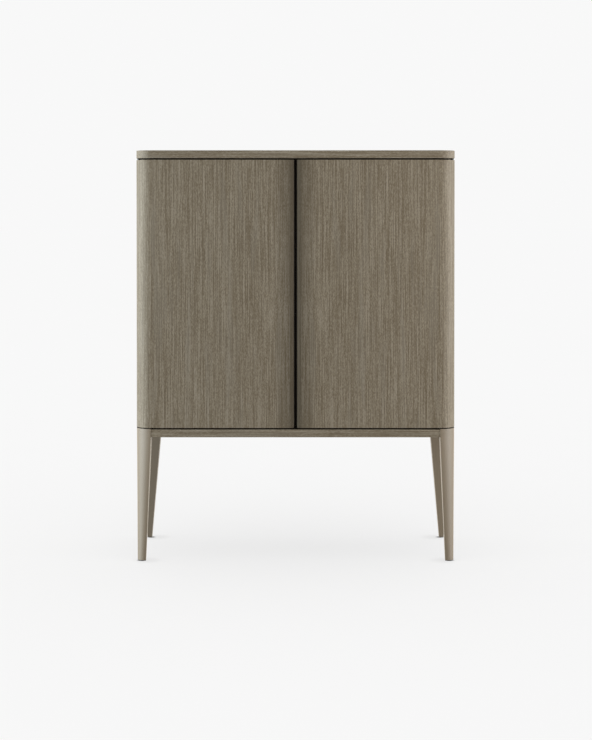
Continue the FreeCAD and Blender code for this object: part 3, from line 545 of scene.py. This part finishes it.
def black_steel():
    """Blackened steel of the pivot plates, which stay out of sight in the gaps."""
    return shared("blackened_steel", metal, (0.012, 0.012, 0.012), (0.03, 0.03, 0.029),
                  BRUSHED_UPWARDS, 0.5)


def steel():
    """Satin steel of pins, strikes and magnets."""
    return shared("satin_steel", metal, (0.36, 0.36, 0.365), (0.55, 0.55, 0.555),
                  BRUSHED_UPWARDS, 0.3)


def rubber():
    """Matt black rubber of the seals and the tray mats."""
    return shared("matt_rubber", moulded, (0.006, 0.0045, 0.003), (0.012, 0.0095, 0.007), 0.8, 0.45)


def plastic():
    """Black nylon of the glides and the catches."""
    return shared("black_nylon", moulded, (0.014, 0.013, 0.012), (0.03, 0.029, 0.027), 0.5, 0.7)


def mirror():
    """Smoked mirror of the niche."""
    return shared("smoked_mirror", looking_glass)


def wear(node, material):
    """Gives a CAD node its finish."""
    mesh = frame["nodes"][node].data
    mesh.materials.clear()
    mesh.materials.append(material)


# ------------------------------------------------------------------ modelling
# Distances in metres under which points touch or are one, and the part of its length by which a
# normal or an edge points a way.
TOUCHING, SAME_POINT, FACING = 1e-5, 1e-6, 0.9
SHARP_ANGLE = math.radians(30)
SMOOTH_ANGLE = math.radians(35)
# Turns that point a piece's +z another way.
TOWARDS = {"+z": (0, 0, 0), "-z": (math.pi, 0, 0), "+y": (-math.pi / 2, 0, 0),
           "-y": (math.pi / 2, 0, 0), "+x": (0, math.pi / 2, 0), "-x": (0, -math.pi / 2, 0)}


def alone(*pieces):
    """Selects these objects and nothing else."""
    bpy.ops.object.select_all(action="DESELECT")
    for piece in pieces:
        piece.select_set(True)
    bpy.context.view_layer.objects.active = pieces[0]


def open_mesh(piece, kind="FACE"):
    """Edit mode on a piece, with nothing selected."""
    alone(piece)
    bpy.ops.object.mode_set(mode="EDIT")
    bpy.ops.mesh.select_mode(type=kind)
    bpy.ops.mesh.select_all(action="DESELECT")


def shut_mesh():
    """Back to object mode."""
    bpy.ops.object.mode_set(mode="OBJECT")


def pick(piece, kind, test):
    """Selects the verts, edges or faces that pass a test, in edit mode, and nothing else."""
    bpy.ops.mesh.select_all(action="DESELECT")
    mesh = bmesh.from_edit_mesh(piece.data)
    for part in getattr(mesh, kind):
        if test(part):
            part.select_set(True)
    bmesh.update_edit_mesh(piece.data)


def picked(piece):
    """The selected vertices, in edit mode."""
    return [vertex for vertex in bmesh.from_edit_mesh(piece.data).verts if vertex.select]


def upright(edge):
    """Whether an edge stands on end."""
    low, high = (vertex.co for vertex in edge.verts)
    return abs(low.z - high.z) > FACING * (low - high).length


def faces_up(face):
    """Whether a face looks upwards."""
    return face.normal.z > FACING


def from_axis(point):
    """How far a point is from the upright axis."""
    return math.hypot(point.x, point.y)


def extrude(x=0, y=0, z=0):
    """Draws what is selected out by so much, in edit mode."""
    bpy.ops.mesh.extrude_region_move(TRANSFORM_OT_translate={"value": (x, y, z)})


def widen(factor, height):
    """Scales what is selected about the upright axis, at a height."""
    bpy.ops.transform.resize(value=(factor, factor, 1), center_override=(0, 0, height))


def block(low, high):
    """A cube drawn out between two corners, to be shaped further."""
    low, high = Vector(low), Vector(high)
    bpy.ops.object.select_all(action="DESELECT")
    bpy.ops.mesh.primitive_cube_add(size=1, location=(low + high) / 2)
    piece = bpy.context.object
    piece.scale = high - low
    bpy.ops.object.transform_apply(location=True, rotation=True, scale=True)
    return piece


def turned_piece(profile, segments=32):
    """A piece turned on a lathe, on the origin. The profile gives (radius, height) in mm."""
    radius, height = profile[0]
    bpy.ops.object.select_all(action="DESELECT")
    bpy.ops.mesh.primitive_circle_add(vertices=segments, radius=radius * MM, fill_type="NGON",
                                      location=(0, 0, height * MM))
    piece = bpy.context.object
    bpy.ops.object.transform_apply(location=True, rotation=True, scale=True)
    open_mesh(piece)
    bpy.ops.mesh.select_all(action="SELECT")
    for next_radius, next_height in profile[1:]:
        extrude(z=(next_height - height) * MM)
        widen(next_radius / radius, next_height * MM)
        radius, height = next_radius, next_height
    shut_mesh()
    return piece


def driven(piece, radius, depth):
    """Sinks a driver recess with six lobes into the top of a turned screw head, in mm."""
    lobes, valleys, waist = 6, -0.1, 0.74
    top = max(vertex.co.z for vertex in piece.data.vertices)

    def on_top(point):
        return point.z > top - TOUCHING

    def in_recess(point):
        return on_top(point) and from_axis(point) < 1.01 * radius * MM

    open_mesh(piece)
    pick(piece, "faces", lambda face: faces_up(face) and on_top(face.calc_center_median()))
    extrude()
    widen(radius * MM / max(from_axis(vertex.co) for vertex in picked(piece)), top)
    bpy.ops.mesh.select_mode(type="VERT")
    pick(piece, "verts", lambda vertex: in_recess(vertex.co) and math.cos(
        lobes * math.atan2(vertex.co.y, vertex.co.x)) < valleys)
    widen(waist, top)
    bpy.ops.mesh.select_mode(type="FACE")
    pick(piece, "faces", lambda face: faces_up(face) and all(
        in_recess(vertex.co) for vertex in face.verts))
    extrude(z=-depth * MM)
    shut_mesh()
    return piece


def screw(head, rise):
    """A domed screw head with a driver recess, its radius and its rise in mm."""
    dome = [(head, -0.2), (head, 0.1), (head * 0.9, rise * 0.7), (head * 0.7, rise)]
    return driven(turned_piece(dome, segments=24), head * 0.45, rise * 0.8)


def set_out(pattern, spots, towards="+z"):
    """Copies a pattern to its spots, turned from +z towards another axis, as one object."""
    copies = []
    for spot in spots:
        copy = pattern.copy()
        copy.data = pattern.data.copy()
        bpy.context.scene.collection.objects.link(copy)
        copy.location, copy.rotation_euler = spot, TOWARDS[towards]
        copies.append(copy)
    bpy.data.objects.remove(pattern)
    return joined(*copies)


def joined(*pieces):
    """One object of several, with its place in its mesh."""
    alone(*pieces)
    if len(pieces) > 1:
        bpy.ops.object.join()
    bpy.ops.object.transform_apply(location=True, rotation=True, scale=True)
    return pieces[0]


def bevelled(piece, width, segments=2):
    """Eases every sharp edge, to a width in mm."""
    alone(piece)
    ease = piece.modifiers.new("eased", "BEVEL")
    ease.width, ease.segments = width * MM, segments
    ease.limit_method, ease.angle_limit = "ANGLE", SHARP_ANGLE
    bpy.ops.object.modifier_apply(modifier=ease.name)
    return piece


def fitted(piece, name, body, material=None, replaces=()):
    """Closes a piece's mesh, gives it its finish and lets it ride on a body."""
    open_mesh(piece)
    bpy.ops.mesh.select_all(action="SELECT")
    bpy.ops.mesh.remove_doubles(threshold=SAME_POINT)
    bpy.ops.mesh.normals_make_consistent(inside=False)
    shut_mesh()
    bpy.ops.object.shade_smooth_by_angle(angle=SMOOTH_ANGLE)
    piece.name = piece.data.name = name
    if material:
        piece.data.materials.clear()
        piece.data.materials.append(material)
    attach(piece, body)
    if replaces:
        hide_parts(*replaces)
    return piece


# ------------------------------------------------------------------ operators
class CABINET_OT_outer_veneer(bpy.types.Operator):
    """Veneers the doors, the sides, the back, the slab and the rails"""

    bl_idname = "cabinet.outer_veneer"
    bl_label = "Outer veneer"

    def execute(self, context):
        rail_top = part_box("front_rail")[1][2]
        body = veneer("oak_upright", "upright", bookmatched=True)
        slab = veneer("oak_slab", "wide", heart=(1.7, 0.3), band=8)
        # The rails' top faces inside the shadow gap are painted black as shade.
        wide = veneer("oak_wide", "wide", heart=(1.7, 0.3), band=6, gap_shade_above=rail_top)
        deep = veneer("oak_deep", "deep", heart=(0.9, 0.3), band=6, gap_shade_above=rail_top)
        for node in ("door_left", "door_right", "side_panel_left", "side_panel_right",
                     "back_panel"):
            wear(node, body)
        wear("top_panel", slab)
        for node in ("front_rail", "rear_rail"):
            wear(node, wide)
        for node in ("left_rail", "right_rail"):
            wear(node, deep)
        return {"FINISHED"}


class CABINET_OT_base_and_shadow_gaps(bpy.types.Operator):
    """Lacquers the legs, stains the recessed spacers and blackens the plastic"""

    bl_idname = "cabinet.base_and_shadow_gaps"
    bl_label = "Legs and shadow gaps"

    def execute(self, context):
        # The legs' lacquer carries painted shade at the feet, on the rear left leg and in the shadow
        # gap.
        lacquer = lacquered_legs("taupe_lacquer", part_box("leg_front_left")[1][2])
        stain = black_stain("spacer_stain")
        for node in LEGS.values():
            wear(node, lacquer)
        for node in ("top_spacer", "base_spacer"):
            wear(node, stain)
        for node in ("foot_glides", "flap_catches"):
            wear(node, plastic())
        return {"FINISHED"}


class CABINET_OT_inside_veneer(bpy.types.Operator):
    """Veneers the boards, the cradles and the fold-out shelf"""

    bl_idname = "cabinet.inside_veneer"
    bl_label = "Inside veneer"

    def execute(self, context):
        tone = context.scene.cabinet_veneer.inside
        wide = veneer("inner_oak_wide", "wide", tone=tone, heart=(1.2, 0.1))
        on_end = veneer("inner_oak_upright", "upright", tone=tone, heart=(0.2, 0.5))
        for node, slot in SLOTS.items():
            if slot == "inner_oak":
                wear(node, on_end if node == "divider" else wide)
        return {"FINISHED"}


class CABINET_OT_metalwork(bpy.types.Operator):
    """Finishes the brass and steel fittings, the mirror and the seals"""

    bl_idname = "cabinet.metalwork"
    bl_label = "Metalwork and glass"

    def execute(self, context):
        finishes = {"brass": brass(), "steel": steel(), "seal_rubber": rubber(),
                    "mirror_glass": mirror()}
        for node, slot in SLOTS.items():
            if slot in finishes:
                wear(node, black_steel() if node.startswith("pivot_plates") else finishes[slot])
        return {"FINISHED"}


class CABINET_OT_eased_edges(bpy.types.Operator):
    """Eases the sharp edges of the boards, the cradles and the folded trays"""

    bl_idname = "cabinet.eased_edges"
    bl_label = "Eased edges"

    def execute(self, context):
        board = context.scene.cabinet_fittings.board_edge / MM
        widths = {"deck": board, "upper_shelf": board, "adjustable_shelf": board, "worktop": 0.5,
                  "corner_blocks": 1.5, "flap_catches": 1.0}
        kinds = {"bottle_cradle": 1.5, "stemware_rail": board, "low_tray": 1.2, "high_tray": 1.2}
        for node in frame["nodes"]:
            for kind, width in kinds.items():
                if node.startswith(kind):
                    widths[node] = width
        for node, width in widths.items():
            piece = bpy.data.objects.new(node, frame["nodes"][node].data.copy())
            context.scene.collection.objects.link(piece)
            open_mesh(piece)
            bpy.ops.mesh.select_all(action="SELECT")
            bpy.ops.mesh.remove_doubles(threshold=TOUCHING)
            bpy.ops.mesh.dissolve_limited(angle_limit=math.radians(0.5))
            shut_mesh()
            bevelled(piece, width)
            fitted(piece, f"{node}_eased", body_of(node), replaces=[node])
        return {"FINISHED"}


class CABINET_OT_flap_pull(bpy.types.Operator):
    """Turns the brass knob of the fold-out shelf"""

    bl_idname = "cabinet.flap_pull"
    bl_label = "Flap pull"

    def execute(self, context):
        profile = [(5.4, 0), (5.4, 0.8), (4.2, 1.4), (3.5, 3), (3.6, 5.5), (4.6, 7.6), (6.6, 9.2),
                   (7.7, 11), (8, 13), (7.8, 14.6), (7.2, 15.8), (6.2, 16.6), (5.6, 16.8),
                   (5.2, 16.5), (1.0, 16.2)]
        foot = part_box("flap_pull")[1][1]
        knob = set_out(turned_piece(profile, segments=48), [(0, foot, middle("flap_pull", 2))], "-y")
        fitted(knob, "flap_pull_turned", "shelf_leaf", brass(), ["flap_pull"])
        return {"FINISHED"}


class CABINET_OT_foot_glides(bpy.types.Operator):
    """Makes the four nylon glides with a rounded rim"""

    bl_idname = "cabinet.foot_glides"
    bl_label = "Foot glides"

    def execute(self, context):
        profile = [(6, 0), (6, 1.1), (5.8, 1.6), (5.3, 1.9), (4.6, 2), (1, 2)]
        points = [vertex.co for vertex in frame["nodes"]["foot_glides"].data.vertices]
        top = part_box("foot_glides")[1][2]
        spots = []
        for sx, sy in LEGS:
            own = [point for point in points if point.x * sx > 0 and point.y * sy > 0]
            spots.append((between([p.x for p in own]), between([p.y for p in own]), top))
        glides = set_out(turned_piece(profile), spots, "-z")
        fitted(glides, "foot_glides_moulded", "cabinet", plastic(), ["foot_glides"])
        return {"FINISHED"}


class CABINET_OT_mirror(bpy.types.Operator):
    """Grinds a bevel round the mirror in the niche"""

    bl_idname = "cabinet.mirror"
    bl_label = "Bevelled mirror"

    def execute(self, context):
        fall = 1.4 * MM
        low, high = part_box("niche_mirror")
        glass = block((low[0], low[1] + fall, low[2]), high)
        open_mesh(glass)
        pick(glass, "faces", lambda face: face.normal.y < -FACING)
        bpy.ops.mesh.inset(thickness=context.scene.cabinet_fittings.mirror_bevel)
        bpy.ops.transform.translate(value=(0, -fall, 0))
        shut_mesh()
        fitted(glass, "niche_mirror_bevelled", "cabinet", mirror(), ["niche_mirror"])
        return {"FINISHED"}


class CABINET_OT_shelf_pegs(bpy.types.Operator):
    """Turns the collared pegs under the adjustable shelf"""

    bl_idname = "cabinet.shelf_pegs"
    bl_label = "Shelf pegs"

    def execute(self, context):
        profile = [(2.1, 0), (2.45, 0.4), (2.45, 9), (4.2, 9.05), (4.2, 9.6), (3.9, 9.85),
                   (2.45, 9.9), (2.45, 18.4), (2.2, 18.8), (1.5, 19)]
        radius = 2.5 * MM
        low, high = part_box("shelf_pegs")
        height = middle("shelf_pegs", 2)
        rows = (low[1] + radius, high[1] - radius)
        outer = set_out(turned_piece(profile), [(low[0], y, height) for y in rows], "+x")
        inner = set_out(turned_piece(profile), [(high[0], y, height) for y in rows], "-x")
        fitted(joined(outer, inner), "shelf_pegs_turned", "cabinet", brass(),
               ["shelf_pegs"])
        return {"FINISHED"}


class CABINET_OT_door_seals(bpy.types.Operator):
    """Draws the finned seals that close the gap between the doors"""

    bl_idname = "cabinet.door_seals"
    bl_label = "Door seals"

    def execute(self, context):
        clearance, fin, root, taper, rounding = 0.35 * MM, 1.8 * MM, 0.8 * MM, 0.35, 0.3
        for name, side in SIDES.items():
            node = f"door_seal_{name}"
            low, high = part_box(node)
            wall = side * min(abs(low[0]), abs(high[0]))
            seal = block(low, high)
            start, end = high[1] - root - fin, high[1] - root
            open_mesh(seal)
            for y in (start, end):
                bpy.ops.mesh.select_all(action="SELECT")
                bpy.ops.mesh.bisect(plane_co=(0, y, 0), plane_no=(0, 1, 0))
            pick(seal, "faces", lambda face: -side * face.normal.x > FACING
                 and start < face.calc_center_median().y < end)
            extrude(x=side * clearance - wall)
            bpy.ops.transform.resize(value=(1, taper, 1),
                                     center_override=(0, (start + end) / 2, 0))
            shut_mesh()
            bevelled(seal, rounding)
            fitted(seal, f"{node}_finned", body_of(node), rubber(), [node])
        return {"FINISHED"}


def ribbed_mat(low, high, pitch):
    """A sheet with rounded corners, a raised rim and ribs, in a tray between two corners."""
    wall, play, sheet, corner, rim, dish = 3 * MM, 1.5 * MM, 1.4 * MM, 7 * MM, 3 * MM, 0.5 * MM
    rib, margin, rounding = 2.6 * MM, 6 * MM, 0.4
    floor = low[2] + wall
    near = [value + wall + play for value in low[:2]]
    far = [value - wall - play for value in high[:2]]
    mat = block((*near, floor), (*far, floor + sheet))
    open_mesh(mat, "EDGE")
    pick(mat, "edges", upright)
    bpy.ops.mesh.bevel(offset=corner, segments=5, affect="EDGES")
    bpy.ops.mesh.select_mode(type="FACE")
    pick(mat, "faces", faces_up)
    bpy.ops.mesh.inset(thickness=rim)
    bpy.ops.transform.translate(value=(0, 0, -dish))
    shut_mesh()
    ridge = block((near[0] + margin, near[1] + margin, floor + sheet / 3),
                  (far[0] - margin, near[1] + margin + rib, floor + sheet * 1.3))
    bevelled(ridge, rounding, segments=1)
    rows = ridge.modifiers.new("rows", "ARRAY")
    rows.use_relative_offset, rows.use_constant_offset = False, True
    rows.constant_offset_displace = (0, pitch, 0)
    rows.count = int((far[1] - near[1] - 2 * margin) / pitch)
    alone(ridge)
    bpy.ops.object.modifier_apply(modifier=rows.name)
    return joined(mat, ridge)


class CABINET_OT_tray_mats(bpy.types.Operator):
    """Lays a ribbed rubber mat in each door tray"""

    bl_idname = "cabinet.tray_mats"
    bl_label = "Tray mats"

    def execute(self, context):
        pitch = context.scene.cabinet_fittings.rib_pitch
        for level in LEVELS:
            for name in SIDES:
                tray = f"{level}_tray_{name}"
                fitted(ribbed_mat(*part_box(tray), pitch), f"{level}_tray_mat_{name}", body_of(tray),
                       rubber())
        return {"FINISHED"}


class CABINET_OT_gallery_rosettes(bpy.types.Operator):
    """Turns the brass roses where the gallery rails enter the doors"""

    bl_idname = "cabinet.gallery_rosettes"
    bl_label = "Gallery rosettes"

    def execute(self, context):
        profile = [(8.5, 0), (8.5, 0.9), (8, 1.7), (6.2, 2.2), (4.6, 2.9), (3.8, 3.1)]
        bar_radius = 4 * MM
        for level in LEVELS:
            for name in SIDES:
                node = f"{level}_gallery_{name}"
                low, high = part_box(node)
                height = middle(node, 2)
                ends = (low[0] + bar_radius, high[0] - bar_radius)
                roses = set_out(turned_piece(profile), [(x, low[1], height) for x in ends], "+y")
                fitted(roses, f"{level}_gallery_roses_{name}", body_of(node), brass())
        return {"FINISHED"}


class CABINET_OT_screws(bpy.types.Operator):
    """Sets the screws of the long hinge, the pivot plates and the corner blocks"""

    bl_idname = "cabinet.screws"
    bl_label = "Screws"

    def execute(self, context):
        look = context.scene.cabinet_fittings
        small, rise = look.screw_head / MM, 0.5

        gaps, span, off_pin = 8, 0.95, 11 * MM
        pin_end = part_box("flap_hinge_pin")[1][0]
        row = [pin_end * (2 * i / gaps - 1) * span for i in range(gaps + 1)]
        back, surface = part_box("worktop_hinge_leaf")[1][1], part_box("worktop")[1][2]
        fitted(set_out(screw(small, rise), [(x, back - off_pin, surface) for x in row]),
               "hinge_screws_worktop", "cabinet", brass())
        surface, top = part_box("fold_out_shelf")[1][1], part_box("flap_hinge_leaf")[1][2]
        fitted(set_out(screw(small, rise), [(x, surface, top - off_pin) for x in row], "+y"),
               "hinge_screws_flap", "shelf_leaf", brass())

        from_end, from_back = 6 * MM, (8 * MM, 24 * MM)
        for node, surface, towards in (("pivot_plates_low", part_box("left_rail")[1][2], "+z"),
                                       ("pivot_plates_high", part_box("top_panel")[0][2], "-z")):
            end, back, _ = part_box(node)[1]
            spots = [(side * (end - from_end), back - off, surface)
                     for side in SIDES.values() for off in from_back]
            fitted(set_out(screw(small, rise), spots, towards), f"{node}_screws", "cabinet",
                   black_steel())

        from_rail, from_leg = 13 * MM, 16 * MM
        (_, _, surface), (rail_x, rail_y, _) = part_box("corner_blocks")
        spots = []
        for (sx, sy), leg in LEGS.items():
            low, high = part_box(leg)
            leg_x, leg_y = (low[0] if sx > 0 else -high[0]), (low[1] if sy > 0 else -high[1])
            spots += [(sx * (rail_x - from_rail), sy * (leg_y - from_leg), surface),
                      (sx * (leg_x - from_leg), sy * (rail_y - from_rail), surface)]
        fitted(set_out(screw(look.block_screw_head / MM, 1.6), spots, "-z"), "corner_block_screws",
               "cabinet", steel())
        return {"FINISHED"}


# The longer side of the rendered frame, in pixels.
FRAME_LONG_SIDE = 740
SENSOR_WIDTH = 36
FLOOR_RADIUS = 120
# Name, place and width in metres, power in watts and colour.
SOFTBOXES = (("softbox_left", (-4.0, -1.1, 1.15), 2.6, 976, (0.79, 0.91, 1.0)),
             ("softbox_right", (3.6, -0.9, 1.15), 1.8, 512, (0.87, 0.94, 1.0)),
             ("softbox_near_right", (1.0, -0.8, 1.15), 0.3, 8.8, (1.0, 0.95, 0.90)))
SOFTBOX_HEIGHT = 3.0
SOFTBOXES_AIM = Vector((0, 0, 0.9))


def lay_floor():
    """A pale round floor, far wider than any view of it."""
    bpy.ops.object.select_all(action="DESELECT")
    bpy.ops.mesh.primitive_circle_add(vertices=96, radius=FLOOR_RADIUS, fill_type="NGON",
                                      location=(0, 0, 0))
    floor = bpy.context.object
    floor.name = "studio_floor"
    floor.data.materials.append(studio_floor("studio_paper"))
    floor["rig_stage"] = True


def light_surround(scene, brightness):
    """An even white surround."""
    world = bpy.data.worlds.new("studio_surround")
    scene.world = world
    world.use_nodes = True
    surround = world.node_tree.nodes["Background"]
    surround.inputs["Color"].default_value = (1, 1, 1, 1)
    surround.inputs["Strength"].default_value = brightness


def place_softboxes(scene, strength):
    """Tall softboxes at the sides, which light the cabinet and not the floor."""
    dressed = bpy.data.collections.new("lit_by_softboxes")
    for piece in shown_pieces():
        dressed.objects.link(piece)
    for name, place, width, power, tint in SOFTBOXES:
        light = bpy.data.lights.new(name, "AREA")
        light.shape, light.size, light.size_y = "RECTANGLE", width, SOFTBOX_HEIGHT
        light.energy = strength * power
        light.color = tint
        lamp = bpy.data.objects.new(name, light)
        scene.collection.objects.link(lamp)
        lamp.location = place
        aim = SOFTBOXES_AIM - lamp.location
        lamp.rotation_euler = aim.to_track_quat("-Z", "Y").to_euler()
        lamp.visible_camera = False
        lamp.light_linking.receiver_collection = dressed


def place_camera(scene, studio):
    """A camera in front of the cabinet, its optical axis shifted and hardly tilted."""
    camera = bpy.data.cameras.new("studio_camera")
    camera.sensor_width = SENSOR_WIDTH
    camera.lens = studio.focal_px / FRAME_LONG_SIDE * SENSOR_WIDTH
    camera.shift_x = -studio.axis_right / FRAME_LONG_SIDE
    camera.shift_y = -studio.axis_up / FRAME_LONG_SIDE
    stand = bpy.data.objects.new("studio_camera", camera)
    scene.collection.objects.link(stand)
    stand.location = (0, -studio.distance, studio.height)
    stand.rotation_euler = (math.pi / 2 - studio.tilt, 0, 0)
    scene.camera = stand


class CABINET_OT_studio(bpy.types.Operator):
    """Lays the floor and places the lights and the camera"""

    bl_idname = "cabinet.studio"
    bl_label = "Studio"

    def execute(self, context):
        scene = context.scene
        studio = scene.cabinet_studio
        lay_floor()
        light_surround(scene, studio.surround)
        place_softboxes(scene, studio.side_light)
        place_camera(scene, studio)
        scene.view_settings.view_transform = "Standard"
        scene.view_settings.look = "None"
        return {"FINISHED"}


class CABINET_PT_panel(bpy.types.Panel):
    """Lists the steps that dress the cabinet"""

    bl_idname = "CABINET_PT_panel"
    bl_label = "Bar cabinet"
    bl_space_type = "VIEW_3D"
    bl_region_type = "UI"
    bl_category = "Cabinet"

    def draw(self, context):
        column = self.layout.column()
        for group in SETTINGS:
            settings = getattr(context.scene, group)
            for name in settings.__annotations__:
                column.prop(settings, name)
        for step in STEPS:
            column.operator(step.bl_idname)


SETTINGS = {"cabinet_veneer": VeneerSettings, "cabinet_legs": LegSettings,
            "cabinet_fittings": FittingSettings, "cabinet_studio": StudioSettings}
STEPS = (CABINET_OT_outer_veneer, CABINET_OT_base_and_shadow_gaps, CABINET_OT_inside_veneer,
         CABINET_OT_metalwork, CABINET_OT_eased_edges, CABINET_OT_flap_pull,
         CABINET_OT_foot_glides, CABINET_OT_mirror, CABINET_OT_shelf_pegs, CABINET_OT_door_seals,
         CABINET_OT_tray_mats, CABINET_OT_gallery_rosettes, CABINET_OT_screws, CABINET_OT_studio)


def register():
    for cls in (*SETTINGS.values(), *STEPS, CABINET_PT_panel):
        bpy.utils.register_class(cls)
    for name, cls in SETTINGS.items():
        setattr(bpy.types.Scene, name, PointerProperty(type=cls))


def unregister():
    for name in SETTINGS:
        delattr(bpy.types.Scene, name)
    for cls in reversed((*SETTINGS.values(), *STEPS, CABINET_PT_panel)):
        bpy.utils.unregister_class(cls)


def main():
    register()
    for step in STEPS:
        group, name = step.bl_idname.split(".")
        getattr(getattr(bpy.ops, group), name)()


if __name__ == "__main__":
    main()
